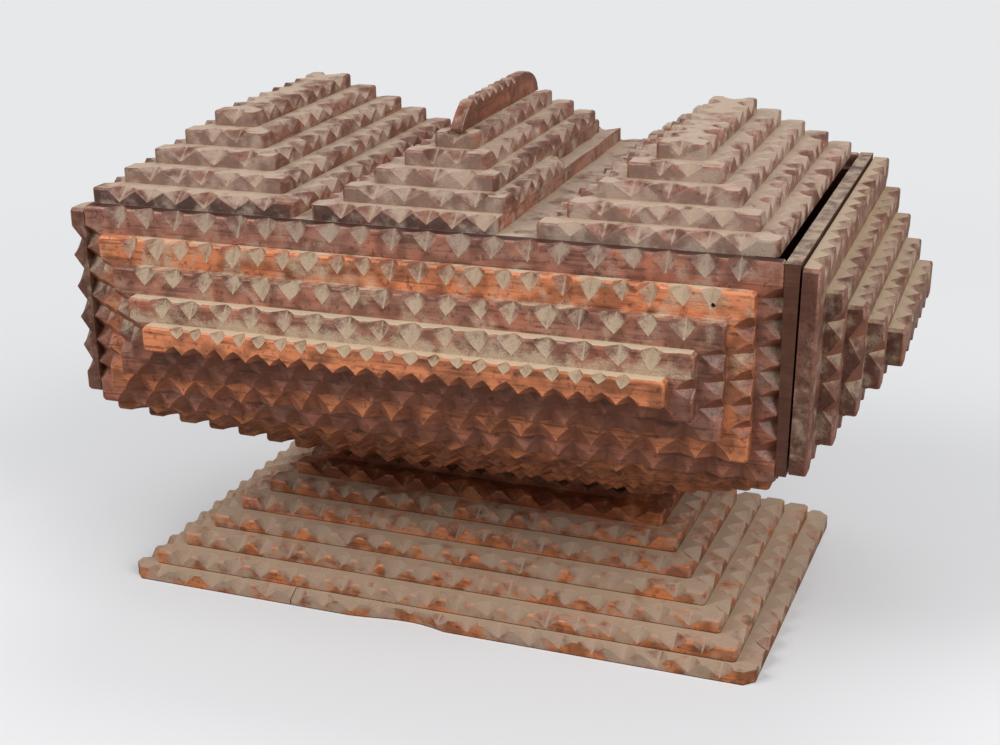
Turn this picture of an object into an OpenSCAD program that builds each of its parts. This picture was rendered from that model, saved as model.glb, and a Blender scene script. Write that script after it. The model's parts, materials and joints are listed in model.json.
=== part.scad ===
// Tramp art box: a case with a lift-off lid on a stepped pedestal. Each side of the case, the
// lid, the underside and the base is a stack of thin boards of shrinking size, and every
// board is chip-carved with a row of V notches along all the edges of its outer face.

/* [Case] */
// Length of the largest board on the front or back
case_l = 206; // [190:1:230]
// Depth of the case from front face to back face
case_d = 133; // [122:1:150]
// Height of the case walls
case_h = 61; // [54:1:70]
// Thickness of the wall boards
wall_t = 4; // [3:0.1:5]
// Thickness of the floor board
floor_t = 4; // [3:0.1:5]

/* [Front and back stacks] */
// Thickness of a board on the front or back
face_t = 4.1; // [3.4:0.1:5]
// Length of the smallest board
face_cap_l = 153; // [130:1:165]
// Height of the smallest board
face_cap_h = 7.6; // [6.5:0.1:9]
// Height of the board that carries the smallest one
face_fourth_h = 18.8; // [16:0.1:21]
// How far each board up to that one sits below the middle of the board it is on
face_sag = 0.5; // [0:0.1:0.8]
// Lower edge of the smallest board above that of the board that carries it
face_cap_rise = 4.5; // [3:0.1:6]
// Reach of a notch in from the edge of the board's face
face_reach = 6.2; // [5:0.1:6.4]
// Even distance between notches up and down the ends of a board
face_side_pitch = 7.6; // [6.5:0.1:9.5]
// Even distance between notches along the upper edge of the second board
face_second_pitch = 8.2; // [7:0.1:9.5]
// Corner of a board to the first notch of its upper edge
face_margin = 11; // [9:0.1:12.5]
// Even distance between notches on the smallest board
face_cap_pitch = 6.7; // [6:0.1:8]
// Flat left between two notches along the upper edge
face_top_land = 1.9; // [0.4:0.1:3]

/* [End stacks] */
// Thickness of a board on an end
end_t = 4.7; // [4:0.1:5.6]
// Height of the largest board
end_first_h = 57; // [50:0.5:58]
// Top edge of the largest board below that of the case
end_drop = 1; // [0:0.1:2]
// Height of the smallest board
end_cap_h = 10.8; // [8:0.1:14]
// How fast the heights shrink outwards, 1 being even steps
end_ratio = 1.17; // [1:0.01:1.4]
// How far the boards after the first sit low
end_sag = 2; // [0:0.1:3]
// Depth of the smallest board at the right end
right_cap_d = 71; // [60:1:85]
// How far the boards after the first sit back at the right end
right_shift = 4.5; // [0:0.1:6]
// Lean of the right end, inwards at the foot, in degrees
right_lean = 1.2; // [0:0.1:1.6]
// How far the boards of the right end have come off their wall
right_gap = 0.6; // [0.2:0.1:0.8]
// Foot of the right wall above that of the case
right_rise = 2.5; // [0:0.1:4]
// Depth of the smallest board at the left end
left_cap_d = 27; // [20:1:60]

/* [Lid] */
// Thickness of the lid board
lid_t = 4; // [3:0.1:5]
// Gap round the lid at the front, the back and the left end
lid_gap = 0.5; // [0.3:0.1:1]
// Wider gap at the right end
lid_slot = 2.4; // [1:0.1:3]
// How far the lid board stops short of the right stack that it carries
lid_short = 6; // [0:0.5:8]
// Thickness of a board on the lid
lid_layer_t = 4.4; // [3.8:0.1:5]
// Length of the lowest board of the centre stack
lid_centre_l = 61; // [54:0.5:66]
// Bare valley on each side of the centre stack
lid_valley = 5.5; // [4:0.5:8]
// Depth of the top board of each stack
lid_cap_d = 70.5; // [60:0.5:80]
// Length of the top board of a side stack
lid_side_cap_l = 13.9; // [12.5:0.1:18]
// Length of the top board of the centre stack
lid_centre_cap_l = 12.6; // [12:0.1:18]
// How far each board of the centre stack sits to the right of the one below
lid_drift = 1.1; // [0:0.1:1.5]
// How far each board of the left stack sits to the left of the one below
left_drift = 0.6; // [0:0.1:1.5]
// How far each board of the left stack sits behind the one below
left_set_back = 1.7; // [0:0.1:2]
// How far each board of the centre stack sits in front of the one below
centre_set_forward = 0.9; // [0:0.1:1.2]
// Even distance between notches on the lid
lid_pitch = 8.7; // [7.5:0.1:10]
// Width split off the right edge of the lowest centre board
loss_w = 5.8; // [5.6:0.1:7]
// Length of the split at the back of the second centre board
loss_l = 58; // [40:1:70]
// Raggedness of a split along the grain
loss_ragged = 0.35; // [0:0.05:0.6]

/* [Handle] */
// Thickness of the handle board
handle_t = 3.6; // [3:0.1:5]
// Height of the handle
handle_h = 7.1; // [6.5:0.1:9]
// Bare top of the board at each end of the handle
handle_inset = 1.3; // [0.3:0.1:4]
// Depth of a handle notch down the side of the handle
handle_notch = 3; // [2.4:0.1:3.4]
// Even distance between the notches of the handle
handle_pitch = 6.7; // [5:0.1:9]
// How much longer the plain end of the handle is at the back than at the front
handle_plain = 12; // [0:0.5:14]

/* [Underside] */
// Thickness of a board on the underside
under_t = 4; // [3.4:0.1:5]
// Largest board's ends in from those of the front board
under_inset_l = 2.1; // [1:0.1:6]
// Largest board's sides in from the front and back of the case
under_inset_d = 4.1; // [1:0.1:8]
// Length of the smallest board
under_cap_l = 111; // [100:1:125]
// Depth of the smallest board
under_cap_d = 31; // [26:1:40]

/* [Base] */
// Thickness of a board on the base
base_t = 4.2; // [3.6:0.1:5]
// Length of the foot board
foot_l = 204; // [185:1:225]
// Depth of the foot board
foot_d = 112; // [104:1:130]
// Bare rim of the foot board at each end
rim_l = 6.3; // [4:0.1:9]
// Bare rim of the foot board at the front and back
rim_d = 3.5; // [2.5:0.1:6]
// How much wider that rim is at the front
rim_front = 2.4; // [0:0.1:4]
// Worn-off corner of the foot board
foot_wear = 3; // [1:0.1:4]
// Length of the top board of the base
base_cap_l = 113; // [100:1:125]
// Depth of the top board of the base
base_cap_d = 16; // [14:0.5:24]
// How far the base is turned under the case, in degrees
base_twist = -1.4; // [-3:0.1:3]
// How far the base stands to the right of the middle of the case
base_shift = -1.9; // [-4:0.1:4]
// Depth of the worn hollow in the front edge of the foot board
hollow_w = 2.2; // [0.5:0.1:3]
// Length of that hollow
hollow_l = 32; // [20:1:45]
// Length of the crack across the front of the foot board
crack_l = 9; // [5:0.5:14]
// How far the boards on the foot board sit towards the front
base_set_forward = 1.5; // [0:0.1:2]
// Flat left between two notches of a base board
base_land = 1.4; // [0.4:0.1:3]

/* [Carving] */
// Even distance between notches
notch_pitch = 9.5; // [8:0.1:11]
// Reach of a notch in from the edge of the board's face
notch_reach = 5.2; // [4:0.1:5.4]
// Wood left at the back of the edge below a notch
notch_back = 0.5; // [0.4:0.1:0.8]
// Flat left between two notches
notch_land = 0.6; // [0.4:0.1:0.8]
// Corner of a board to its first notch
notch_margin = 9.5; // [8.5:0.1:12]
// Most that a hand-cut notch strays from its even place
hand_wander = 0.7; // [0:0.05:0.8]
// Worn-off corner of a board
corner_wear = 0.9; // [0.5:0.1:1.2]

/* [Brads] */
// Diameter of the brads that pin the first board of each stack
brad_d = 1.2; // [0.8:0.1:1.6]
// Depth of a brad in the board behind
brad_bite = 2.2; // [1.5:0.1:2.6]
// Depth of the one open brad below the face of the board
brad_sunk = 1.4; // [1:0.1:1.8]

/* [Hidden] */
face_count = 5;
end_count = 5;
lid_count = 5;
under_count = 8;
base_count = 8;
face_fourth = face_count - 1;

// Largest share of a narrow board's width that notches take from each side
notch_share = 0.42;
// A shorter edge than this stays plain
notch_least = 1.25 * notch_pitch;
// Notches stand no closer than this share of their pitch
notch_crowd = 0.85;
// Cutters run this far past the wood
over = 2;
// Sides of a round form
round_sides = 64;
// Points along a ragged split, and the turn between them in the wave that shapes it
split_points = 9;
split_turn = 137;
// Points along the worn hollow, and how far its deepest place leans to the right
hollow_points = 16;
hollow_lean = 1.4;
// Middle of the hollow and foot of the crack, from the middle of the foot board
hollow_x = -9;
crack_x = -45;
crack_w = 0.5;
// Room round a brad in its hole
brad_gap = 0.05;
// Brads stand this share of the way to the corners of the board that hides them
brad_spread = 0.6;
// The open brad's place, in from the right and top edges of the second front board
open_brad_x = 10.6;
open_brad_y = 4.1;
// First carving seed of each stack, so that no two boards are cut alike
front_seed = 100;
back_seed = 110;
right_seed = 120;
left_seed = 130;
lid_left_seed = 140;
lid_right_seed = 150;
lid_centre_seed = 160;
handle_seed = 170;
under_seed = 180;
base_seed = 190;

case_z = base_count * base_t + under_count * under_t;
lid_z = case_z + case_h;
inner_d = case_d - 2 * (face_t + wall_t);

// Middle height of the first end board and of those after it, from the middle of the case
end_first_y = case_h / 2 - end_drop - end_first_h / 2;
end_next_y = end_first_y - end_sag;

// The right wall stands outside the front board and the left wall behind it. The box as a
// whole is centred on X, so its case stands off to the left.
right_tuck = (case_h / 2 - end_next_y - end_cap_h / 2) * sin(right_lean);
right_reach = wall_t + right_gap + end_count * end_t * cos(right_lean) - right_tuck;
case_x = (end_count * end_t - right_reach) / 2;

lid_min_x = case_x - case_l / 2 + lid_gap;
lid_max_x = case_x + case_l / 2 - lid_slot;
lid_l = lid_max_x - lid_min_x;
lid_d = case_d - 2 * (face_t + lid_gap);
lid_side_l = (lid_l - lid_centre_l) / 2 - lid_valley;
lid_left_x = lid_min_x + lid_side_l / 2;
lid_centre_x = (lid_min_x + lid_max_x) / 2;
lid_right_x = lid_max_x - lid_side_l / 2;
handle_l = lid_cap_d - 2 * handle_inset;

mauve = "#6b4a3f";
cedar = "#b8642f";
umber = "#5a4335";
dusty = "#8d7c69";
rust = "#8a4a2b";
iron = "#4a4542";

function layer_names(stack, count) = [for (k = [1:count]) str(stack, "_layer_", k)];

// Share of the way from the first board of a stack to its last
function climb(k, count, ease = 1) = 1 - pow(1 - (k - 1) / (count - 1), ease);

// Size of board k between the sizes of the first and the last board of its stack
function stepped(first, last, k, count, ease = 1) = first + (last - first) * climb(k, count, ease);

// Length and height of board k on the front or back
function face_l(k) = stepped(case_l, face_cap_l, k, face_count);
function face_h(k) = k == face_count ? face_cap_h : stepped(case_h, face_fourth_h, k, face_fourth);

// Depth and height of board k on an end with a smallest board of depth cap_d
function end_d(k, cap_d) = stepped(case_d, cap_d, k, end_count);
function end_h(k) = stepped(end_first_h, end_cap_h, k, end_count, end_ratio);

// Depth of board k on the lid, and its length in a side stack and in the centre stack
function lid_stack_d(k) = stepped(lid_d, lid_cap_d, k, lid_count);
function side_stack_l(k) = stepped(lid_side_l, lid_side_cap_l, k, lid_count);
function centre_stack_l(k) = stepped(lid_centre_l, lid_centre_cap_l, k, lid_count);

// A row of notches: their pitch, the flat between two of them and the corner to the first
function notches(pitch = notch_pitch, land = notch_land, margin = notch_margin) =
    [pitch, land, margin];

// Notches that fit along an edge, and the even distance between them
function notch_count(along, pitch, margin) =
    along < notch_least ? 0 : max(1, round((along - 2 * margin) / pitch) + 1);
function notch_spacing(along, count, pitch, margin) =
    count == 1 ? pitch : max(notch_crowd * pitch, (along - 2 * margin) / (count - 1));

// A row of V cuts slanting across an arris. The arris lies along X, the face of the board
// reaches away from it along +Y and the edge of the board along -Z. The root of each cut
// runs straight from the face, reach in, to the edge, drop down.
module notch_row(along, reach, drop, row, seed) {
    pitch = row[0];
    land = row[1];
    margin = row[2];
    count = notch_count(along, pitch, margin);
    if (count > 0) {
        spacing = notch_spacing(along, count, pitch, margin);
        root_l = sqrt(reach * reach + drop * drop);
        depth = reach * drop / root_l;
        crest = -depth * spacing / (spacing - land);
        stray = rands(-hand_wander, hand_wander, 3 * count + 1, seed);
        crests = [for (i = [0:count]) [(i - count / 2) * spacing + stray[i], crest]];
        roots = [for (i = [0:count - 1]) [
            (i + 0.5 - count / 2) * spacing + stray[count + 1 + i],
            (stray[2 * count + 1 + i] - hand_wander) / 2
        ]];
        zigzag = [for (i = [0:2 * count]) i % 2 == 0 ? crests[i / 2] : roots[(i - 1) / 2]];
        outside = [[crests[count].x, crest - over], [crests[0].x, crest - over]];
        translate([0, 0, -drop])
            rotate([-atan2(reach, drop), 0, 0])
                translate([0, 0, -over])
                    linear_extrude(root_l + 2 * over)
                        polygon(concat(zigzag, outside));
    }
}

// A flat board, centred on X and Y, with its back on z = 0 and corners worn off by w
module plain_board(l, d, t, w) {
    x = l / 2;
    y = d / 2;
    linear_extrude(t)
        polygon([
            [x - w, -y], [x, w - y], [x, y - w], [x - w, y],
            [w - x, y], [-x, y - w], [-x, w - y], [w - x, -y]
        ]);
}

// The same board with its upper arrises notched. Sides count from the front, 0, by quarter
// turns: 1 is the right edge, 2 the back and 3 the left. Rows are of the front, the back and
// the ends.
module carved_board(
    l, d, t, seed, sides = [0:3], wear = corner_wear, reach = notch_reach,
    front_row = notches(), back_row = notches(), end_row = notches()
) {
    cut = min(reach, notch_share * min(l, d));
    difference() {
        plain_board(l, d, t, wear);
        for (side = sides) {
            along = side % 2 == 0 ? l : d;
            across = side % 2 == 0 ? d : l;
            row = side == 0 ? front_row : side == 2 ? back_row : end_row;
            rotate(90 * side)
                translate([0, -across / 2, t])
                    notch_row(along, cut, t - notch_back, row, seed * 4 + side);
        }
    }
}

// A round brad, or its hole with room round it, from z = 0 up
module brad(l, room = 0) {
    cylinder(d = brad_d + 2 * room, h = l + (room > 0 ? over : 0), $fn = round_sides);
}

// Brads through a board of thickness t, hidden by the l by d board on top of it
module brads(l, d, t, room) {
    for (x = [-1, 1], y = [-1, 1])
        translate([x * brad_spread * l / 2, y * brad_spread * d / 2, -brad_bite])
            brad(brad_bite + t, room);
}

// Frames of the stacks: the first board's back is on z = 0 and faces +Z
module front_frame() {
    translate([case_x, face_t - case_d / 2, case_z + case_h / 2])
        rotate([90, 0, 0])
            children();
}

module back_frame() {
    translate([case_x, case_d / 2 - face_t, case_z + case_h / 2])
        rotate([90, 0, 180])
            children();
}

module left_frame() {
    translate([case_x - case_l / 2, 0, case_z + case_h / 2])
        rotate([90, 0, -90])
            children();
}

// The right end leans about the top of its wall
module right_frame() {
    translate([case_x + case_l / 2 + wall_t, 0, lid_z])
        rotate([0, right_lean, 0])
            translate([right_gap, 0, -case_h / 2])
                rotate([90, 0, 90])
                    children();
}

module lid_frame(x) {
    translate([x, 0, lid_z])
        children();
}

module face_brads(room = 0) {
    brads(face_l(2), face_h(2), face_t, room);
}

module end_brads(cap_d, room = 0) {
    brads(end_d(2, cap_d), end_h(2), end_t, room);
}

// The one brad in sight, sunk in the second front board
module open_brad(room = 0) {
    y = face_h(2) / 2 - face_sag - open_brad_y;
    translate([face_l(2) / 2 - open_brad_x, y, face_t - brad_bite])
        brad(brad_bite + face_t - brad_sunk, room);
}

module lid_stack_brads(room = 0) {
    lid_frame(lid_left_x)
        brads(side_stack_l(2), lid_stack_d(2), lid_layer_t, room);
    lid_frame(lid_centre_x)
        brads(centre_stack_l(2), lid_stack_d(2), lid_layer_t, room);
    lid_frame(lid_right_x)
        brads(side_stack_l(2), lid_stack_d(2), lid_layer_t, room);
}

// Board k of the front or back stack; the smallest one sits low
module face_layer(k, seed) {
    sag_y = -face_sag * (min(k, face_fourth) - 1);
    cap_y = k == face_count ? face_cap_rise + (face_cap_h - face_fourth_h) / 2 : 0;
    low_pitch = k == face_count ? face_cap_pitch : notch_pitch;
    top_pitch = k == 2 ? face_second_pitch : low_pitch;
    difference() {
        translate([0, sag_y + cap_y, (k - 1) * face_t])
            carved_board(
                face_l(k), face_h(k), face_t, seed + k, reach = face_reach,
                front_row = notches(low_pitch),
                back_row = notches(top_pitch, face_top_land, face_margin),
                end_row = notches(face_side_pitch)
            );
        if (k == 1)
            face_brads(brad_gap);
    }
}

module front_layer(k) {
    color(k == 2 || k == face_count ? cedar : k == 1 ? mauve : umber)
        front_frame()
            difference() {
                face_layer(k, front_seed);
                if (k <= 2)
                    open_brad(brad_gap);
            }
}

module back_layer(k) {
    color(k == 2 ? cedar : mauve)
        back_frame()
            face_layer(k, back_seed);
}

// Board k of an end stack
module end_layer(k, cap_d, shift, seed, sides = [0:3]) {
    color(mauve)
        difference() {
            translate([k == 1 ? 0 : shift, k == 1 ? end_first_y : end_next_y, (k - 1) * end_t])
                carved_board(end_d(k, cap_d), end_h(k), end_t, seed + k, sides);
            if (k == 1)
                end_brads(cap_d, brad_gap);
        }
}

// The front edge of the first board is left plain
module right_end_layer(k) {
    right_frame()
        end_layer(k, right_cap_d, right_shift, right_seed, k == 1 ? [0:2] : [0:3]);
}

module left_end_layer(k) {
    left_frame()
        end_layer(k, left_cap_d, 0, left_seed);
}

// Board k of a stack on the lid, with its centre at x and y
module lid_layer(k, x, y, l, seed, sides = [0:3]) {
    color(dusty)
        difference() {
            translate([x, y, lid_z + (k - 1) * lid_layer_t])
                carved_board(
                    l, lid_stack_d(k), lid_layer_t, seed + k, sides,
                    front_row = notches(lid_pitch),
                    back_row = notches(lid_pitch),
                    end_row = notches(lid_pitch)
                );
            if (k == 1)
                lid_stack_brads(brad_gap);
        }
}

module lid_left_layer(k) {
    x = lid_left_x - (k - 1) * left_drift;
    lid_layer(k, x, (k - 1) * left_set_back, side_stack_l(k), lid_left_seed);
}

module lid_right_layer(k) {
    lid_layer(k, lid_right_x, 0, side_stack_l(k), lid_right_seed);
}

// Wood right of a ragged line along the grain, from y = 0 towards +Y
module split_off(l) {
    step = l / (split_points - 1);
    far_x = notch_reach + loss_w;
    linear_extrude(lid_layer_t + 2 * over)
        polygon(concat(
            [for (i = [0:split_points - 1]) [loss_ragged * sin(i * split_turn), i * step]],
            [[far_x, l], [far_x, 0]]
        ));
}

// The right edge of the lowest centre board has split off along its whole length, and that
// of the second board along the back
module lid_centre_layer(k) {
    x = lid_centre_x + (k - 1) * lid_drift;
    y = -(k - 1) * centre_set_forward;
    edge_x = x + centre_stack_l(k) / 2 - loss_w;
    cut_l = k == 1 ? lid_d + 2 * over : loss_l + over;
    cut_y = k == 1 ? -lid_d / 2 - over : lid_stack_d(k) / 2 - loss_l;
    difference() {
        lid_layer(k, x, y, centre_stack_l(k), lid_centre_seed, k == 1 ? [0, 2, 3] : [0:3]);
        if (k <= 2)
            translate([edge_x, cut_y, lid_z + (k - 1) * lid_layer_t - over])
                split_off(cut_l);
    }
}

// A board on edge along the lid with quarter-round ends, notched along both upper arrises
module lid_handle() {
    top_z = lid_z + lid_count * lid_layer_t;
    straight_l = handle_l - 2 * handle_h;
    row_l = straight_l - handle_plain / 2;
    reach = notch_share * handle_t;
    steps = lid_count - 1;
    color(rust)
        translate([lid_centre_x + steps * lid_drift, -steps * centre_set_forward, top_z])
            rotate(90)
                difference() {
                    union() {
                        translate([-straight_l / 2, -handle_t / 2, 0])
                            cube([straight_l, handle_t, handle_h]);
                        for (end = [-1, 1])
                            translate([end * straight_l / 2, handle_t / 2, 0])
                                rotate([90, 0, 0])
                                    cylinder(r = handle_h, h = handle_t, $fn = round_sides);
                    }
                    translate([-handle_l, -handle_t, -2 * handle_h])
                        cube([2 * handle_l, 2 * handle_t, 2 * handle_h]);
                    for (side = [0, 1])
                        rotate(180 * side)
                            translate([(side - 0.5) * handle_plain, -handle_t / 2, handle_h])
                                notch_row(
                                    row_l, reach, handle_notch,
                                    notches(handle_pitch), handle_seed + side
                                );
                }
}

// Board k of the underside, facing down
module under_layer(k) {
    l = stepped(case_l - 2 * under_inset_l, under_cap_l, k, under_count);
    d = stepped(case_d - 2 * under_inset_d, under_cap_d, k, under_count);
    color(rust)
        translate([case_x, 0, case_z - (k - 1) * under_t])
            rotate([180, 0, 0])
                carved_board(l, d, under_t, under_seed + k);
}

// What the front edge of the foot board has lost: a worn hollow and a crack
module foot_losses() {
    edge_y = -foot_d / 2 - rim_front;
    front_y = edge_y - over;
    hollow = [for (i = [0:hollow_points]) [
        hollow_x + (i / hollow_points - 0.5) * hollow_l,
        hollow_w * sin(180 * pow(i / hollow_points, hollow_lean)) + edge_y
    ]];
    translate([0, 0, -over])
        linear_extrude(base_t + 2 * over) {
            polygon(concat(
                hollow,
                [[hollow_x + hollow_l / 2, front_y], [hollow_x - hollow_l / 2, front_y]]
            ));
            polygon([
                [crack_x - crack_w / 2, front_y],
                [crack_x + crack_w / 2, front_y],
                [crack_x + 2 * crack_w, crack_l + edge_y]
            ]);
        }
}

module base_board(l, d, k, wear) {
    row = notches(land = base_land);
    carved_board(
        l, d, base_t, base_seed + k,
        wear = wear, front_row = row, back_row = row, end_row = row
    );
}

module foot_board() {
    difference() {
        translate([0, -rim_front / 2, 0])
            base_board(foot_l, foot_d + rim_front, 1, foot_wear);
        foot_losses();
    }
}

// Board k of the base: the foot board, then the stack on it
module base_layer(k) {
    stack_l = foot_l - 2 * rim_l;
    stack_d = foot_d - 2 * rim_d;
    color(dusty)
        translate([case_x + base_shift, 0, (k - 1) * base_t])
            rotate(base_twist)
                if (k == 1)
                    foot_board();
                else
                    translate([0, -base_set_forward, 0])
                        base_board(
                            stepped(stack_l, base_cap_l, k - 1, base_count - 1),
                            stepped(stack_d, base_cap_d, k - 1, base_count - 1),
                            k,
                            corner_wear
                        );
}

// The front, back and left walls stand behind the first carved boards and carry the lid
module side_wall(l) {
    translate([-l / 2, -case_h / 2, -wall_t])
        cube([l, case_h - lid_t, wall_t]);
}

module front_wall() {
    color(umber)
        front_frame()
            difference() {
                side_wall(case_l);
                face_brads(brad_gap);
            }
}

module back_wall() {
    color(umber)
        back_frame()
            difference() {
                side_wall(case_l);
                face_brads(brad_gap);
            }
}

module left_wall() {
    color(umber)
        left_frame()
            difference() {
                side_wall(inner_d);
                end_brads(left_cap_d, brad_gap);
            }
}

// The right wall reaches the top of the case, and its outer face leans
module right_wall() {
    foot_t = wall_t - (case_h - right_rise) * tan(right_lean);
    color(umber)
        difference() {
            translate([case_x + case_l / 2, case_d / 2, case_z])
                rotate([90, 0, 0])
                    linear_extrude(case_d)
                        polygon([
                            [0, right_rise], [foot_t, right_rise],
                            [wall_t, case_h], [0, case_h]
                        ]);
            right_frame()
                end_brads(right_cap_d, brad_gap);
        }
}

module floor_board() {
    color(umber)
        translate([case_x + wall_t - case_l / 2, -inner_d / 2, case_z])
            cube([case_l - wall_t, inner_d, floor_t]);
}

module lid_board() {
    color(mauve)
        difference() {
            translate([lid_min_x, -lid_d / 2, lid_z - lid_t])
                cube([lid_l - lid_short, lid_d, lid_t]);
            lid_stack_brads(brad_gap);
        }
}

module case_brads() {
    color(iron) {
        front_frame() {
            face_brads();
            open_brad();
        }
        back_frame()
            face_brads();
        left_frame()
            end_brads(left_cap_d);
        right_frame()
            end_brads(right_cap_d);
    }
}

module lid_brads() {
    color(iron)
        lid_stack_brads();
}

for (k = [1:face_count]) {
    front_layer(k);
    back_layer(k);
}
for (k = [1:end_count]) {
    left_end_layer(k);
    right_end_layer(k);
}
for (k = [1:lid_count]) {
    lid_left_layer(k);
    lid_centre_layer(k);
    lid_right_layer(k);
}
for (k = [1:under_count])
    under_layer(k);
for (k = [1:base_count])
    base_layer(k);
front_wall();
back_wall();
left_wall();
right_wall();
floor_board();
lid_board();
lid_handle();
case_brads();
lid_brads();
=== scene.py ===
"""Looks of the tramp art box: knife-cut boards, worn crests, old varnish, bare cedar and dust."""

import json
import math

import bmesh
import bpy
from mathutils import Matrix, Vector


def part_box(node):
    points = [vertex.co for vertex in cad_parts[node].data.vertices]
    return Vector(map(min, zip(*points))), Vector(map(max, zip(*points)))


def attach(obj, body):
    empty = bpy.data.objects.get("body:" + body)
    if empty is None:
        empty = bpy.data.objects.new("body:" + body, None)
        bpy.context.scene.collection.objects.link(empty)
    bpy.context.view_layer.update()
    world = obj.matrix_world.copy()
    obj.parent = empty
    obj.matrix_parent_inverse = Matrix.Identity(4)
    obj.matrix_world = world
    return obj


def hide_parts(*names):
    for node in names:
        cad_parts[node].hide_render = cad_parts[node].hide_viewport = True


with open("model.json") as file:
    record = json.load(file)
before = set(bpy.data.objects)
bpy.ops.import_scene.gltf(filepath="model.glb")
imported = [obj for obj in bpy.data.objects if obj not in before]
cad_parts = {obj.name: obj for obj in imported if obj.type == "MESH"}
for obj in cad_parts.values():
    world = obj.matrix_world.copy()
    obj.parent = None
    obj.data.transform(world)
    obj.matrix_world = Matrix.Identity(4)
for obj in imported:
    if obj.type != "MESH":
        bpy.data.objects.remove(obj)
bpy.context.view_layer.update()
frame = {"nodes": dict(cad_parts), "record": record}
nodes = frame["nodes"]

# Camera: place in metres, turn in degrees, lens in millimetres on a 36 mm wide sensor
CAMERA_PLACE = (0.17007, -0.46938, 0.24606)
CAMERA_TURN = (69.850, 0.809, 19.635)
CAMERA_LENS = 59.715
CAMERA_SENSOR = 36.0

# Lengths in metres: points that are one, slivers to clear away, lands between notches that a
# knife runs out, wear of the crests and of the plain arrises, height of a top row of notches,
# half the length of the foot board that may be cracked, and steps and width of a brad hole
SAME_POINT = 1e-6
SLIVER = 0.00001
LAND_LEAST = 0.0003
LAND_MOST = 0.00095
CREST_WEAR = 0.0002
NOSE_WEAR = 0.0007
TOP_ROW = 0.0075
FOOT_END = 0.09
BRAD_STEP = 0.00013
BRAD_ACROSS = 0.00135

# Angles that tell crests, roots, square arrises and flat joins apart
CREST_ANGLE = math.radians(25)
ROOT_ANGLE = math.radians(-15)
SQUARE_ANGLE = math.radians(80)
FLAT_ANGLE = math.radians(0.5)

# How square to an axis a face lies, as the cosine to it: a flat face, the least of a cut and of a
# scallop, the most of a brad hole's wall and of the back of an upright board, and how far off
# front to back a crack runs
FLAT_FACE = 0.95
CUT_FACE = 0.1
SCALLOP_FACE = 0.2
HOLE_WALL = 0.2
UPRIGHT_BACK = 0.5
CRACK_SLANT = 0.3

# Bow of the sides of a notch in upright and in level boards, as a share of their length, the
# points that shape it, and its strength at the tip and how much of that is gone at the root
UPRIGHT_HOLLOW = 0.07
LEVEL_HOLLOW = 0.1
HOLLOW_POINTS = 3
HOLLOW_TIP = 1.3
HOLLOW_LOSS = 0.6

# The handle, in metres: where its scallops start, their pitch and number, how far a scallop cuts
# in and down, the plain arris, the runs of the two ends, the rise of the middle, the steps and
# least height of the ends, the wear, how near a point is to a root and the curve of the front
HANDLE_FRONT = 0.0095
HANDLE_PITCH = 0.0055
HANDLE_SCALLOPS = 7
SCALLOP_IN = 0.00125
SCALLOP_DOWN = 0.0021
ARRIS = 0.0003
FRONT_RUN = 0.008
HEAD_RUN = 0.011
HANDLE_CROWN = 0.0007
END_STEPS = (0.06, 0.16, 0.32, 0.52, 0.75, 1.0)
END_LEAST = 0.12
HANDLE_WEAR = 0.00012
NEAR_ROOT = 0.0001
FRONT_CURVE = 0.6

# Thickness of a base board, in metres
BASE_BOARD = 0.0042

# Directions of the grain
ALONG_X = "x"
ALONG_Y = "y"

# Scale of the fibres and of the year rings per metre, along and across the grain
FIBRES = (70.0, 1000.0)
RINGS = (9.0, 160.0)

# Noise of the wood, the dust and the rust: scale per metre, detail and roughness. The fibres and
# the rings are scaled by the lengths above.
FIBRE_NOISE = (1.0, 3.0, 0.6)
RING_NOISE = (1.0, 2.0, 0.5)
PATCHES = (70.0, 3.0, 0.55)
GRAINS = (2200.0, 2.0, 0.6)
CLUMPS = (330.0, 3.0, 0.6)
WIPED = (110.0, 2.0, 0.5)
SPECKS = (520.0, 4.0, 0.7)
TEETH = (165.0, 1.0, 0.5)
SMEARS = (140.0, 3.0, 0.6)
RUST_SCALE = (1500.0, 3.0, 0.6)

# Reach of a corner that catches dust, depth of the relief in metres, and gloss of the surface
CORNER_REACH = 0.004
RELIEF_DEPTH = 0.0004
SURFACE_GLOSS = 0.35

# Heights in metres: fade of the varnish and of the dust on the low front that is painted as lit,
# reach of loose dust above a ledge and its lower edge, and the top edge painted as the lid's shadow
PAINTED_LIGHT_FADE = 0.02
PAINTED_LIGHT_EDGE = (0.015, 0.005)
LOOSE_DUST = 0.006
LEDGE_EDGE = 0.0005
SEAM_SHADOW_EDGE = (0.0004, 0.0002)


def shade(red, green, blue):
    """A colour as it is read from a picture, 0 to 255, for a shader socket."""
    def linear(value):
        value /= 255
        return value / 12.92 if value <= 0.04045 else ((value + 0.055) / 1.055) ** 2.4
    return (linear(red), linear(green), linear(blue), 1.0)


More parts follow.
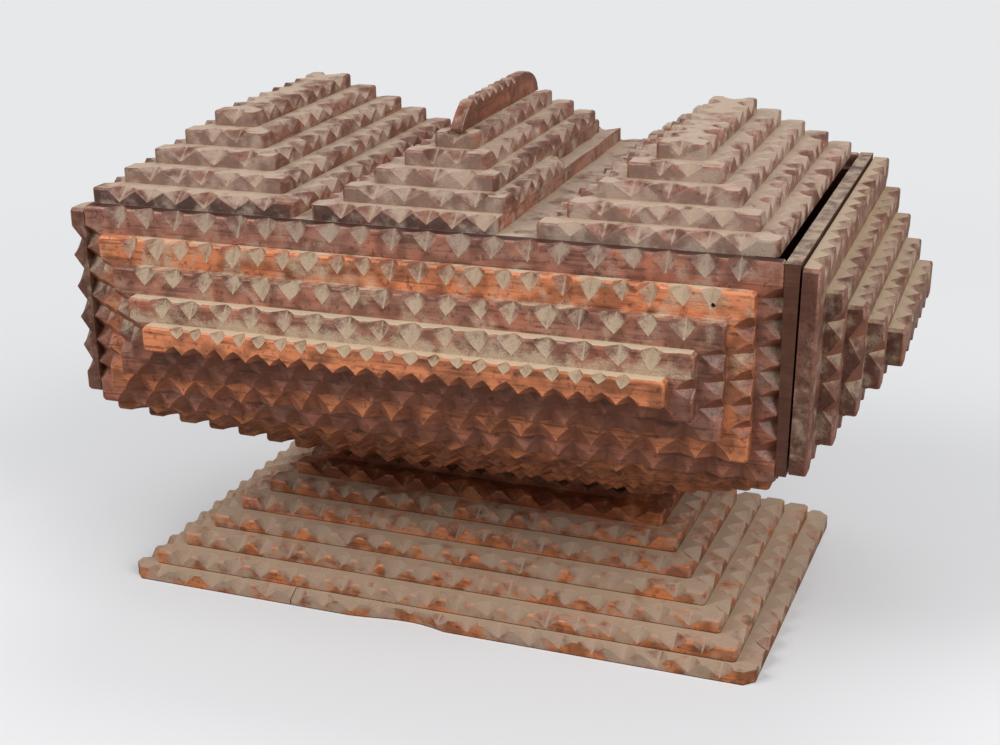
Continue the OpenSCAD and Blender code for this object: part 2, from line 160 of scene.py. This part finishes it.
class Finish:
    """The node tree of one finish of the wood."""

    def __init__(self, name):
        self.material = bpy.data.materials.new(name)
        self.material.use_nodes = True
        self.tree = self.material.node_tree
        self.tree.nodes.clear()
        self.place = self.add("ShaderNodeTexCoord").outputs

    def add(self, kind, **settings):
        made = self.tree.nodes.new(kind)
        for name, value in settings.items():
            setattr(made, name, value)
        return made

    def feed(self, socket, value):
        if isinstance(value, bpy.types.NodeSocket):
            self.tree.links.new(value, socket)
        else:
            socket.default_value = value

    def stretched(self, scale):
        """Object coordinates scaled along each axis."""
        made = self.add("ShaderNodeMapping", vector_type="POINT")
        self.feed(made.inputs["Vector"], self.place["Object"])
        made.inputs["Scale"].default_value = scale
        return made.outputs["Vector"]

    def speckle(self, place, scale, detail=2.0, roughness=0.5):
        made = self.add("ShaderNodeTexNoise")
        self.feed(made.inputs["Vector"], place)
        made.inputs["Scale"].default_value = scale
        made.inputs["Detail"].default_value = detail
        made.inputs["Roughness"].default_value = roughness
        return made.outputs["Fac"]

    def spread(self, value, low, high, to_low=0.0, to_high=1.0):
        """A soft step of value from low to high."""
        made = self.add("ShaderNodeMapRange", interpolation_type="SMOOTHSTEP")
        self.feed(made.inputs["Value"], value)
        made.inputs["From Min"].default_value = low
        made.inputs["From Max"].default_value = high
        made.inputs["To Min"].default_value = to_low
        made.inputs["To Max"].default_value = to_high
        return made.outputs["Result"]

    def sum_up(self, kind, first, second, clamp=False):
        made = self.add("ShaderNodeMath", operation=kind, use_clamp=clamp)
        self.feed(made.inputs[0], first)
        self.feed(made.inputs[1], second)
        return made.outputs["Value"]

    def plus(self, first, second, clamp=False):
        return self.sum_up("ADD", first, second, clamp)

    def less(self, first, second):
        return self.sum_up("SUBTRACT", first, second)

    def times(self, first, second):
        return self.sum_up("MULTIPLY", first, second)

    def tint(self, factor, first, second):
        made = self.add("ShaderNodeMix", data_type="RGBA")
        self.feed(made.inputs[0], factor)
        self.feed(made.inputs[6], first)
        self.feed(made.inputs[7], second)
        return made.outputs[2]

    def split(self, vector):
        made = self.add("ShaderNodeSeparateXYZ")
        self.feed(made.inputs["Vector"], vector)
        return made.outputs

    def marked(self, name):
        """A mark that was left on the mesh."""
        made = self.add("ShaderNodeAttribute", attribute_name=name)
        return made.outputs["Fac"]

    def sheltered(self, reach):
        """How deep a point lies in a corner: 1 in a tight crevice, 0 in the open."""
        made = self.add("ShaderNodeAmbientOcclusion", samples=4)
        made.inputs["Distance"].default_value = reach
        return self.less(1.0, made.outputs["AO"])

    def close(self, colour, roughness, height, relief):
        """Joins colour, roughness and relief in one surface."""
        bump = self.add("ShaderNodeBump")
        bump.inputs["Strength"].default_value = relief
        bump.inputs["Distance"].default_value = RELIEF_DEPTH
        self.feed(bump.inputs["Height"], height)
        surface = self.add("ShaderNodeBsdfPrincipled")
        self.feed(surface.inputs["Base Color"], colour)
        self.feed(surface.inputs["Roughness"], roughness)
        self.feed(surface.inputs["Normal"], bump.outputs["Normal"])
        surface.inputs["Specular IOR Level"].default_value = SURFACE_GLOSS
        end = self.add("ShaderNodeOutputMaterial")
        self.feed(end.inputs["Surface"], surface.outputs["BSDF"])
        return self.material


def along(grain, lengthwise, crosswise):
    """A scale for each axis of noise that is drawn out along the grain."""
    if grain == ALONG_X:
        return (lengthwise, crosswise, crosswise)
    return (crosswise, lengthwise, crosswise)


def old_wood(
    name, varnish, bare, grain, bareness, powder, lying, clinging,
    drift=0.4, film=0.0, rub=0.1, russet_shade=0.5, cut_bare=0.25, ledge=0.0, drape=0.0, seam_shadow=0.0,
    ends=None, painted_light_below=0.0,
):
    """Varnished cedar, rubbed bare in places, with dust on what faces up and in the corners.

    Shares from 0 to 1: bareness of the flat faces, lying dust on ledges, clinging dust on
    slopes, drift of dust in the corners, film of dust on every face, rub of the crests, russet
    shade, the painted shade of a darker russet on faces that face down, and cut_bare, the part of
    the bareness that the cuts have. ledge is the height in metres above which loose dust lies on
    an upright face, or 0 for none. drape is how far dust hangs down the edge of a base board, and
    it also brings a painted shadow at the foot of each board's edge. The seam shadow is the height
    in metres of a top edge that is painted dark as the shadow under the lid, or 0 for none. ends
    is the colour of the end grain and how strong it is. The painted light below is the height in
    metres below which a board is painted barer and free of dust as painted light, or 0 for none.
    """
    f = Finish(name)
    fibres = f.speckle(f.stretched(along(grain, *FIBRES)), *FIBRE_NOISE)
    rings = f.speckle(f.stretched(along(grain, *RINGS)), *RING_NOISE)
    place = f.place["Object"]
    patches = f.speckle(place, *PATCHES)
    grains = f.speckle(place, *GRAINS)
    clumps = f.speckle(place, *CLUMPS)
    wiped = f.speckle(place, *WIPED)
    specks = f.speckle(place, *SPECKS)
    teeth = f.speckle(place, *TEETH)
    smears = f.speckle(place, *SMEARS)
    facing = f.split(f.place["Normal"])
    up = facing["Z"]
    level = f.split(place)["Z"]
    endwise = f.sum_up("ABSOLUTE", facing["X"] if grain == ALONG_X else facing["Y"], 0.0)
    crest = f.marked("crest")
    root = f.marked("root")
    cut = f.marked("cut")
    shelf = f.marked("shelf")
    corner = f.sheltered(CORNER_REACH)

    # Wood
    worn = f.plus(patches, f.times(rings, 0.5))
    # Painted light: below the given height the front turns barer and so brighter, standing in for
    # frontal light
    if painted_light_below > 0:
        worn = f.plus(worn, f.spread(level, painted_light_below, painted_light_below - PAINTED_LIGHT_FADE, 0.0, 0.2))
    worn = f.spread(worn, 1.02 - bareness, 1.22 - bareness)
    worn = f.times(worn, f.spread(cut, 0.0, 1.0, 1.0, cut_bare))
    wood = f.tint(worn, varnish, bare)
    wood = f.tint(f.spread(rings, 0.42, 0.66, 0.0, 0.45), wood, STREAK)
    wood = f.tint(f.spread(fibres, 0.5, 0.7, 0.0, 0.6), wood, STREAK)
    wood = f.tint(f.spread(specks, 0.52, 0.66, 0.0, 0.6), wood, STREAK)
    wood = f.tint(f.spread(teeth, 0.35, 0.6, 0.5, 0.0), wood, STREAK)
    # Painted shade: the notch cuts are tinted a little towards the dark streak colour
    wood = f.tint(f.times(cut, 0.25), wood, STREAK)
    end_colour, end_share = ends or (STREAK, 0.4)
    wood = f.tint(f.spread(endwise, 0.8, 0.96, 0.0, end_share), wood, end_colour)
    wood = f.tint(f.times(crest, rub), wood, bare)
    # Painted shade: faces that face down take a darker russet
    wood = f.tint(f.spread(up, -0.05, -0.4, 0.0, russet_shade), wood, RUSSET_SHADE)

    # Dust
    veil = f.spread(wiped, 0.38, 0.62, 0.2 * film, 1.8 * film)
    slopes = f.spread(up, 0.08, 0.5, 0.0, clinging)
    slopes = f.times(slopes, f.spread(shelf, 0.0, 1.0, 0.25, 1.0))
    lined = f.spread(root, 0.6, 1.0, 0.0, min(0.5, 1.6 * clinging))
    lined = f.times(lined, f.spread(up, -0.1, 0.15))
    drifted = f.times(corner, f.spread(up, -0.1, 0.4, 0.0, drift))
    cover = f.plus(f.plus(veil, f.spread(up, 0.82, 0.97, 0.0, lying)), slopes)
    cover = f.plus(cover, f.times(lined, shelf))
    cover = f.plus(cover, drifted)
    grit = 0.3
    if ledge > 0:
        grit = 0.6
        loose = f.spread(level, ledge, ledge + LOOSE_DUST, 0.5, 0.0)
        above = f.spread(level, ledge - LEDGE_EDGE, ledge)
        cover = f.plus(cover, f.times(loose, above))
    if drape > 0:
        share = f.sum_up("FRACT", f.sum_up("DIVIDE", level, BASE_BOARD), 0.0)
        cover = f.plus(cover, f.spread(share, 0.1, 0.9, 0.0, drape))
    cover = f.plus(cover, f.times(f.less(clumps, 0.5), 1.1))
    cover = f.plus(cover, f.times(f.less(smears, 0.5), 1.2))
    cover = f.plus(cover, f.times(f.less(grains, 0.5), grit))
    cover = f.less(cover, f.times(crest, 0.3))
    cover = f.times(cover, f.spread(up, -0.35, -0.05))
    # Painted light, too: no dust below that height on the low front
    if painted_light_below > 0:
        cover = f.times(cover, f.spread(level, painted_light_below - PAINTED_LIGHT_EDGE[0], painted_light_below + PAINTED_LIGHT_EDGE[1]))
    # Painted shadow: the flat top edge of the front is painted dark and cleared of dust, as the
    # shade under the lid
    if seam_shadow > 0:
        edge = f.spread(level, seam_shadow - SEAM_SHADOW_EDGE[0], seam_shadow - SEAM_SHADOW_EDGE[1])
        edge = f.times(edge, f.spread(up, 0.9, 0.98))
        wood = f.tint(edge, wood, SEAM_SHADOW)
        cover = f.less(cover, edge)
    dusty = f.spread(cover, 0.2, 0.9, 0.0, 0.9)
    # Painted top light: dust on faces that face up takes the lighter tone of its pair, slopes the
    # darker, with random grains between
    top_light_and_grains = f.plus(f.spread(up, 0.75, 0.97, 0.2, 0.7), f.less(grains, 0.5), True)
    loose_dust = f.tint(top_light_and_grains, powder[0], powder[1])
    loose_dust = f.tint(f.spread(drifted, 0.06, 0.32, 0.0, 0.8), loose_dust, OLIVE_DUST)
    colour = f.tint(dusty, wood, loose_dust)
    if drape > 0:
        # Painted shadow: a dark line at the foot of each base board's edge, where it meets the
        # board below
        joint_shadow = f.times(f.spread(share, 0.03, 0.12, 0.8, 0.0), f.spread(up, 0.6, 0.3))
        colour = f.tint(joint_shadow, colour, STREAK)

    # Gloss and relief
    sheen = f.spread(patches, 0.35, 0.65, 0.34, 0.52)
    sheen = f.less(sheen, f.times(crest, 0.14))
    roughness = f.plus(sheen, f.times(dusty, 0.5), True)
    height = f.plus(f.times(fibres, -0.6), f.times(dusty, grains))
    height = f.plus(height, f.times(clumps, 1.2))
    return f.close(colour, roughness, height, relief=0.5)


def iron_finish(name):
    """Rusted iron of the brads."""
    f = Finish(name)
    scale = f.speckle(f.place["Object"], *RUST_SCALE)
    colour = f.tint(f.spread(scale, 0.4, 0.7), IRON, IRON_RUST)
    return f.close(colour, f.spread(scale, 0.3, 0.7, 0.5, 0.85), scale, relief=0.4)


def plug_brad_holes(bm):
    """Closes the brad holes that the next board hides."""
    through = max(bm.faces, key=lambda face: face.calc_area()).normal.copy()
    holes = []
    for face in bm.faces:
        lengths = [edge.calc_length() for edge in face.edges]
        wall = abs(face.normal.dot(through)) < HOLE_WALL and min(lengths) < BRAD_STEP
        if wall or max(lengths) < BRAD_ACROSS:
            holes.append(face)
    bmesh.ops.delete(bm, geom=holes, context="FACES")
    bmesh.ops.holes_fill(bm, edges=[edge for edge in bm.edges if edge.is_boundary], sides=0)


def in_crack(edge):
    """Whether an edge of the foot board runs front to back away from the board's ends."""
    first, second = (point.co for point in edge.verts)
    slant = abs(first.x - second.x) / edge.calc_length()
    return slant < CRACK_SLANT and abs(first.x) < FOOT_END


def hollow_cuts(bm, outward, cut, hollow):
    """Bows the sides of every notch, as a curved cut of the knife leaves them."""
    sides = []
    for edge in bm.edges:
        if not edge.is_manifold:
            continue
        flank, flat = sorted(edge.link_faces, key=lambda face: face.normal.dot(outward))
        outer = not flat[cut] and flat.normal.dot(outward) > FLAT_FACE
        if outer and flank[cut] and len(flank.verts) == 3:
            root = min(flank.edges, key=lambda side: side.calc_face_angle_signed(0.0))
            deep = next(point for point in edge.verts if point in root.verts)
            inner = next(point for point in flank.verts if point not in edge.verts)
            sides.append((edge, deep.co.copy(), edge.other_vert(deep).co.copy(), inner.co.copy()))
    for edge, deep, tip, inner in sides:
        run = deep - tip
        aside = outward.cross(run).normalized()
        if aside.dot(inner - tip) > 0:
            aside.negate()
        made = bmesh.ops.subdivide_edges(bm, edges=[edge], cuts=HOLLOW_POINTS, use_single_edge=True)
        for point in made["geom_inner"]:
            if isinstance(point, bmesh.types.BMVert):
                share = (point.co - tip).length / run.length
                bow = 4 * share * (1 - share) * (HOLLOW_TIP - HOLLOW_LOSS * share)
                point.co += aside * (bow * hollow * run.length)


def mark_layers(bm):
    """Room on a mesh for the marks that the finishes read."""
    crest, cut, shelf = (bm.faces.layers.float.new(name) for name in ("crest", "cut", "shelf"))
    return crest, cut, shelf, bm.loops.layers.float.new("root")


def worn_board(node):
    """A copy of a carved board with its knife-edged crests rubbed round and its cuts marked."""
    bm = bmesh.new()
    bm.from_mesh(nodes[node].data)
    crest, cut, shelf, root = mark_layers(bm)
    bmesh.ops.remove_doubles(bm, verts=bm.verts, dist=SAME_POINT)
    if node.endswith("_layer_1"):
        plug_brad_holes(bm)
    bmesh.ops.dissolve_limit(bm, angle_limit=FLAT_ANGLE, verts=bm.verts, edges=bm.edges)
    lands = [
        edge for edge in bm.edges
        if edge.is_manifold
        and LAND_LEAST < edge.calc_length() < LAND_MOST
        and edge.calc_face_angle_signed() > SQUARE_ANGLE
    ]
    bmesh.ops.collapse(bm, edges=lands, uvs=False)
    back = max(bm.faces, key=lambda face: face.calc_area())
    upright = abs(back.normal.z) < UPRIGHT_BACK
    top = max(point.co.z for point in bm.verts)
    for face in bm.faces:
        if CUT_FACE < abs(face.normal.dot(back.normal)) < FLAT_FACE:
            face[cut] = 1.0
            if not upright or face.calc_center_median().z > top - TOP_ROW:
                face[shelf] = 1.0
    hollow_cuts(bm, -back.normal, cut, UPRIGHT_HOLLOW if upright else LEVEL_HOLLOW)
    back = max(bm.faces, key=lambda face: face.calc_area())
    noses = [
        edge for edge in bm.edges
        if edge.is_manifold
        and edge.calc_face_angle_signed() > SQUARE_ANGLE
        and edge.calc_length() > LAND_MOST
        and edge not in back.edges
        and not (node == "base_layer_1" and in_crack(edge))
    ]
    rounded = bmesh.ops.bevel(
        bm, geom=noses, offset=NOSE_WEAR, offset_type="OFFSET", affect="EDGES",
        segments=3, profile=0.5, material=-1, clamp_overlap=True,
    )["faces"]
    rounded_points = {point for face in rounded for point in face.verts}
    back = max(bm.faces, key=lambda face: face.calc_area())
    crests = [
        edge for edge in bm.edges
        if edge.is_manifold
        and edge.calc_face_angle_signed() > CREST_ANGLE
        and edge.calc_length() > LAND_LEAST
        and edge not in back.edges
        and rounded_points.isdisjoint(edge.verts)
    ]
    rubbed = bmesh.ops.bevel(
        bm, geom=crests, offset=CREST_WEAR, offset_type="OFFSET", affect="EDGES",
        segments=2, profile=0.5, material=-1, clamp_overlap=True,
    )["faces"]
    for face in list(rounded) + list(rubbed):
        if face.is_valid:
            face[crest] = 1.0
            face.smooth = True
    return finished(bm, root, "worn_" + node)


def finished(bm, root, name):
    """Marks the roots of the cuts and puts the piece in the scene."""
    for edge in bm.edges:
        if edge.is_manifold and edge.calc_face_angle_signed() < ROOT_ANGLE:
            for face in edge.link_faces:
                for loop in face.loops:
                    if loop.vert in edge.verts:
                        loop[root] = 1.0
    bmesh.ops.dissolve_degenerate(bm, dist=SLIVER, edges=bm.edges)
    bmesh.ops.triangulate(bm, faces=bm.faces)
    bmesh.ops.dissolve_degenerate(bm, dist=SLIVER, edges=bm.edges)
    bmesh.ops.triangulate(bm, faces=[face for face in bm.faces if len(face.verts) > 3])
    mesh = bpy.data.meshes.new(name)
    bm.to_mesh(mesh)
    bm.free()
    piece = bpy.data.objects.new(name, mesh)
    bpy.context.scene.collection.objects.link(piece)
    return piece


def carved_handle():
    """The handle: a board on edge, arched, with scallops along both upper arrises."""
    low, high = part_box("lid_handle")
    middle = (low + high) / 2
    half_wide = (high.x - low.x) / 2
    tall = high.z - low.z
    first = low.y + HANDLE_FRONT
    roots = [first + HANDLE_PITCH * (count + 0.5) for count in range(HANDLE_SCALLOPS)]
    stations = roots + [first + HANDLE_PITCH * count for count in range(HANDLE_SCALLOPS + 1)]
    stations += [low.y + FRONT_RUN * step for step in END_STEPS]
    stations += [high.y - HEAD_RUN * step for step in END_STEPS]

    def top(y):
        """Height of the top at a place along the handle."""
        front = min((y - low.y) / FRONT_RUN, 1.0)
        head = min((high.y - y) / HEAD_RUN, 1.0)
        share = min(max(front, 0.0) ** FRONT_CURVE, math.sqrt(max(1 - (1 - head) ** 2, 0.0)))
        off_middle = (y - middle.y) / (high.y - middle.y)
        return low.z + max(share, END_LEAST) * (tall + HANDLE_CROWN * (1 - off_middle ** 2))

    bm = bmesh.new()
    crest, cut, shelf, root = mark_layers(bm)
    bmesh.ops.create_cube(bm, size=1.0)
    bmesh.ops.scale(bm, vec=high - low, verts=bm.verts)
    bmesh.ops.translate(bm, vec=middle, verts=bm.verts)
    for place in stations:
        bmesh.ops.bisect_plane(
            bm, geom=bm.verts[:] + bm.edges[:] + bm.faces[:], dist=SAME_POINT,
            plane_co=(0.0, place, 0.0), plane_no=(0.0, 1.0, 0.0),
        )
    for point in bm.verts:
        if point.co.z > middle.z:
            point.co.z = top(point.co.y)
    arrises = [
        edge for edge in bm.edges
        if abs(edge.verts[0].co.y - edge.verts[1].co.y) > SAME_POINT
        and all(point.co.z > low.z + SAME_POINT for point in edge.verts)
    ]
    bmesh.ops.bevel(
        bm, geom=arrises, offset=ARRIS, offset_type="OFFSET", affect="EDGES",
        segments=1, profile=0.5, material=-1, clamp_overlap=True,
    )
    for point in bm.verts:
        off_root = min(abs(point.co.y - place) for place in roots) > NEAR_ROOT
        if off_root or point.co.z < low.z + SAME_POINT:
            continue
        aside = point.co.x - middle.x
        if abs(aside) > half_wide - SAME_POINT:
            point.co.z = top(point.co.y) - SCALLOP_DOWN
        else:
            point.co.x = middle.x + math.copysign(half_wide - SCALLOP_IN, aside)
    bent = [face for face in bm.faces if abs(face.normal.x) < FLAT_FACE]
    bmesh.ops.triangulate(bm, faces=bent)
    for face in bm.faces:
        if SCALLOP_FACE < abs(face.normal.x) < FLAT_FACE:
            face[cut] = 1.0
            face[shelf] = 1.0
    edges = [
        edge for edge in bm.edges
        if edge.is_manifold and edge.calc_face_angle_signed() > CREST_ANGLE
        and any(point.co.z > low.z + SAME_POINT for point in edge.verts)
        and edge.calc_length() > LAND_LEAST
    ]
    rubbed = bmesh.ops.bevel(
        bm, geom=edges, offset=HANDLE_WEAR, offset_type="OFFSET", affect="EDGES",
        segments=2, profile=0.5, material=-1, clamp_overlap=True,
    )["faces"]
    for face in rubbed:
        face[crest] = 1.0
        face.smooth = True
    return finished(bm, root, "carved_handle")


def top_of(node):
    """Height of a node's top."""
    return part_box(node)[1].z


def middle_of(node):
    """Height halfway up a node."""
    low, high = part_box(node)
    return (low.z + high.z) / 2


# Colours of the varnish, the bare cedar, its dark streaks, the dust and the brads
MAUVE = shade(168, 117, 98)
CHOCOLATE = shade(152, 106, 87)
CEDAR = shade(208, 128, 80)
BRICK = shade(190, 119, 92)
DARK_RED = shade(98, 62, 46)
STREAK = shade(76, 44, 33)
# Painted shade for faces that face down
RUSSET_SHADE = shade(152, 86, 56)
TERRACOTTA = shade(230, 142, 96)
RUST = shade(158, 98, 72)
CHAR = shade(62, 51, 48)
ASHEN = shade(142, 120, 107)
# Painted shadow of the lid on the front's top edge
SEAM_SHADOW = shade(66, 40, 31)
DEEP = shade(150, 80, 46)
# Each dust is a pair: a darker tone for slopes and a lighter tone painted on faces that face up as
# painted top light
GREY_DUST = (shade(164, 144, 128), shade(192, 172, 150))
CREAM_DUST = (shade(180, 158, 134), shade(220, 202, 172))
PINK_DUST = (shade(170, 147, 131), shade(198, 177, 157))
EARTH_DUST = (shade(168, 146, 126), shade(190, 167, 143))
OLIVE_DUST = shade(186, 166, 132)
IRON = shade(48, 42, 40)
IRON_RUST = shade(96, 62, 44)

# Height below which the front is painted barer and free of dust, as painted light
LOW_FRONT = middle_of("front_layer_5")

finishes = {
    "front_layer_1": old_wood(
        "mauve_front", MAUVE, BRICK, ALONG_X, 0.3, GREY_DUST, 0.4, 0.42, film=0.2, rub=0.04,
        seam_shadow=top_of("front_layer_1"), painted_light_below=LOW_FRONT,
    ),
    "front_layer_2": old_wood(
        "cedar_front", BRICK, TERRACOTTA, ALONG_X, 0.6, CREAM_DUST, 0.2, 0.45,
        film=0.27, rub=0.3, cut_bare=0.4, painted_light_below=LOW_FRONT,
    ),
    "front_layer_3": old_wood(
        "dusty_front", MAUVE, BRICK, ALONG_X, 0.3, CREAM_DUST, 0.05, 0.5,
        drift=0.25, film=0.2, painted_light_below=LOW_FRONT,
    ),
    "front_layer_4": old_wood(
        "powdered_front", MAUVE, BRICK, ALONG_X, 0.35, CREAM_DUST, 0.95, 0.38,
        film=0.2, ledge=top_of("front_layer_5"), painted_light_below=LOW_FRONT,
    ),
    "front_layer_5": old_wood(
        "brick_front", BRICK, TERRACOTTA, ALONG_X, 0.55, CREAM_DUST, 0.75, 0.55,
        film=0.1, rub=0.3, russet_shade=0.8, cut_bare=0.9, painted_light_below=LOW_FRONT,
    ),
    "back": old_wood("mauve_back", MAUVE, BRICK, ALONG_X, 0.3, GREY_DUST, 0.6, 0.45),
    "left_end": old_wood(
        "mauve_left_end", CHOCOLATE, BRICK, ALONG_Y, 0.1, PINK_DUST, 0.5, 0.35, film=0.2,
    ),
    "right_end": old_wood(
        "mauve_right_end", CHOCOLATE, BRICK, ALONG_Y, 0.1, EARTH_DUST, 0.55, 0.28,
        drift=0.8, film=0.25, ends=(STREAK, 0.55),
    ),
    "lid_handle": old_wood(
        "rust_handle", RUST, CEDAR, ALONG_Y, 0.15, PINK_DUST, 0.35, 0.35, film=0.1,
    ),
    "lid_left_layer_1": old_wood(
        "dark_left_lid", MAUVE, BRICK, ALONG_Y, 0.2, PINK_DUST, 0.5, 0.2,
        drift=0.6, film=0.3, ends=(CHAR, 0.7),
    ),
    "lid_centre_layer_1": old_wood(
        "dark_centre_lid", MAUVE, BRICK, ALONG_Y, 0.3, PINK_DUST, 0.5, 0.2,
        drift=0.6, film=0.3, ends=(CHAR, 0.7),
    ),
    "lid": old_wood(
        "mauve_lid", CHOCOLATE, BRICK, ALONG_Y, 0.15, PINK_DUST, 0.42, 0.2,
        drift=0.6, film=0.32, ends=(ASHEN, 0.6),
    ),
    "lid_right": old_wood(
        "dusty_right_lid", MAUVE, BRICK, ALONG_Y, 0.15, PINK_DUST, 0.42, 0.22,
        drift=0.6, film=0.44, ends=(ASHEN, 0.6),
    ),
    "under": old_wood("cedar_under", DEEP, CEDAR, ALONG_X, 0.5, GREY_DUST, 0.3, 0.1, cut_bare=0.5),
    "base": old_wood(
        "dusty_base", BRICK, CEDAR, ALONG_X, 0.58, EARTH_DUST, 0.5, 0.32,
        film=0.42, rub=0.6, drape=0.15,
    ),
    # Darker finishes for the boards under the box: less dust, and painted shade of the box above
    "base_neck": old_wood(
        "neck_boards", BRICK, CEDAR, ALONG_X, 0.45, EARTH_DUST, 0.35, 0.3,
        film=0.25, rub=0.35, drape=0.15,
    ),
    "neck": old_wood("dark_neck", DEEP, CEDAR, ALONG_X, 0.3, EARTH_DUST, 0.1, 0.1, cut_bare=1.0),
    "walls": old_wood("wall_boards", DARK_RED, CHOCOLATE, ALONG_X, 0.2, GREY_DUST, 0.5, 0.3),
    "brads": iron_finish("rusted_iron"),
}

# The upper boards of the base, under the box, which the box keeps from dust; their darker finish
# is also painted shade of the box above
NECK_BOARDS = {"base_layer_5": "base_neck", "base_layer_6": "base_neck",
               "base_layer_7": "neck", "base_layer_8": "neck"}


def finish_of(node):
    """The name of the finish a carved board takes."""
    if node in NECK_BOARDS:
        return NECK_BOARDS[node]
    return max((name for name in finishes if node.startswith(name)), key=len)


# Finish of each plain node
plain = {
    "front_wall": "walls", "back_wall": "walls", "left_wall": "walls", "right_wall": "walls",
    "floor_board": "walls", "lid_board": "lid", "case_brads": "brads", "lid_brads": "brads",
}
for body, members in frame["record"]["behaviour"]["bodies"].items():
    for node in members:
        if node in plain:
            nodes[node].data.materials.clear()
            nodes[node].data.materials.append(finishes[plain[node]])
        else:
            name = finish_of(node)
            board = carved_handle() if node == "lid_handle" else worn_board(node)
            board.data.materials.append(finishes[name])
            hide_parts(node)
            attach(board, body)

# Studio: a pale floor, an even sky and three broad lamps. The floor seen by the camera is paler
# than the floor that lights the box, and it fades into the backdrop away from the box.
FLOOR_HALF = 3.0
FLOOR_SEEN = (0.81, 0.815, 0.83, 1.0)
FLOOR_BOUNCE = (0.3, 0.3, 0.3, 1.0)
FLOOR_FADE = (0.14, 0.6, 0.1, 1.0)
BACKDROP = (0.80, 0.805, 0.815, 1.0)
SKY = (0.97, 0.98, 1.0, 1.0)
SKY_STRENGTH = 0.28
LAMP_SIZE = 0.7
BOX_MIDDLE = Vector((0.0, 0.0, 0.08))

floor_mesh = bpy.data.meshes.new("floor")
bm = bmesh.new()
bmesh.ops.create_grid(bm, x_segments=1, y_segments=1, size=FLOOR_HALF)
bm.to_mesh(floor_mesh)
bm.free()
floor = bpy.data.objects.new("floor", floor_mesh)
bpy.context.scene.collection.objects.link(floor)
sheet = Finish("pale_paper")
seen = sheet.add("ShaderNodeLightPath").outputs["Is Camera Ray"]
dull = sheet.add("ShaderNodeBsdfDiffuse")
sheet.feed(dull.inputs["Color"], sheet.tint(seen, FLOOR_BOUNCE, FLOOR_SEEN))
glow = sheet.add("ShaderNodeEmission")
glow.inputs["Color"].default_value = BACKDROP
blend = sheet.add("ShaderNodeMixShader")
away = sheet.add("ShaderNodeVectorMath", operation="LENGTH")
sheet.feed(away.inputs[0], sheet.place["Object"])
plain_part = sheet.spread(away.outputs["Value"], *FLOOR_FADE)
sheet.feed(blend.inputs["Fac"], sheet.times(seen, plain_part))
sheet.feed(blend.inputs[1], dull.outputs["BSDF"])
sheet.feed(blend.inputs[2], glow.outputs["Emission"])
sheet.feed(sheet.add("ShaderNodeOutputMaterial").inputs["Surface"], blend.outputs["Shader"])
floor_mesh.materials.append(sheet.material)

world = bpy.data.worlds.new("studio")
world.use_nodes = True
sky_nodes = world.node_tree.nodes
sky = sky_nodes["Background"]
sky.inputs["Color"].default_value = SKY
sky.inputs["Strength"].default_value = SKY_STRENGTH
backdrop = sky_nodes.new("ShaderNodeBackground")
backdrop.inputs["Color"].default_value = BACKDROP
backdrop.inputs["Strength"].default_value = 1.0
sky_choice = sky_nodes.new("ShaderNodeMixShader")
sky_links = world.node_tree.links
sky_seen = sky_nodes.new("ShaderNodeLightPath").outputs["Is Camera Ray"]
sky_links.new(sky_seen, sky_choice.inputs["Fac"])
sky_links.new(sky.outputs["Background"], sky_choice.inputs[1])
sky_links.new(backdrop.outputs["Background"], sky_choice.inputs[2])
sky_links.new(sky_choice.outputs["Shader"], sky_nodes["World Output"].inputs["Surface"])
bpy.context.scene.world = world


def lamp(name, place, strength):
    """A broad square light that looks at the middle of the box."""
    light = bpy.data.lights.new(name, "AREA")
    light.size = LAMP_SIZE
    light.energy = strength
    made = bpy.data.objects.new(name, light)
    made.location = place
    made.rotation_euler = (Vector(place) - BOX_MIDDLE).to_track_quat("Z", "Y").to_euler()
    bpy.context.scene.collection.objects.link(made)


lamp("left_light", (-0.70, -0.65, 0.80), 8.6)
lamp("right_light", (0.85, -0.45, 0.75), 8.6)
lamp("back_light", (0.0, 0.55, 0.95), 3.0)

view = bpy.data.cameras.new("camera")
view.sensor_fit = "HORIZONTAL"
view.sensor_width = CAMERA_SENSOR
view.lens = CAMERA_LENS
camera = bpy.data.objects.new("camera", view)
camera.location = CAMERA_PLACE
camera.rotation_euler = [math.radians(turn) for turn in CAMERA_TURN]
bpy.context.scene.collection.objects.link(camera)
bpy.context.scene.camera = camera

bpy.context.scene.view_settings.view_transform = "Standard"
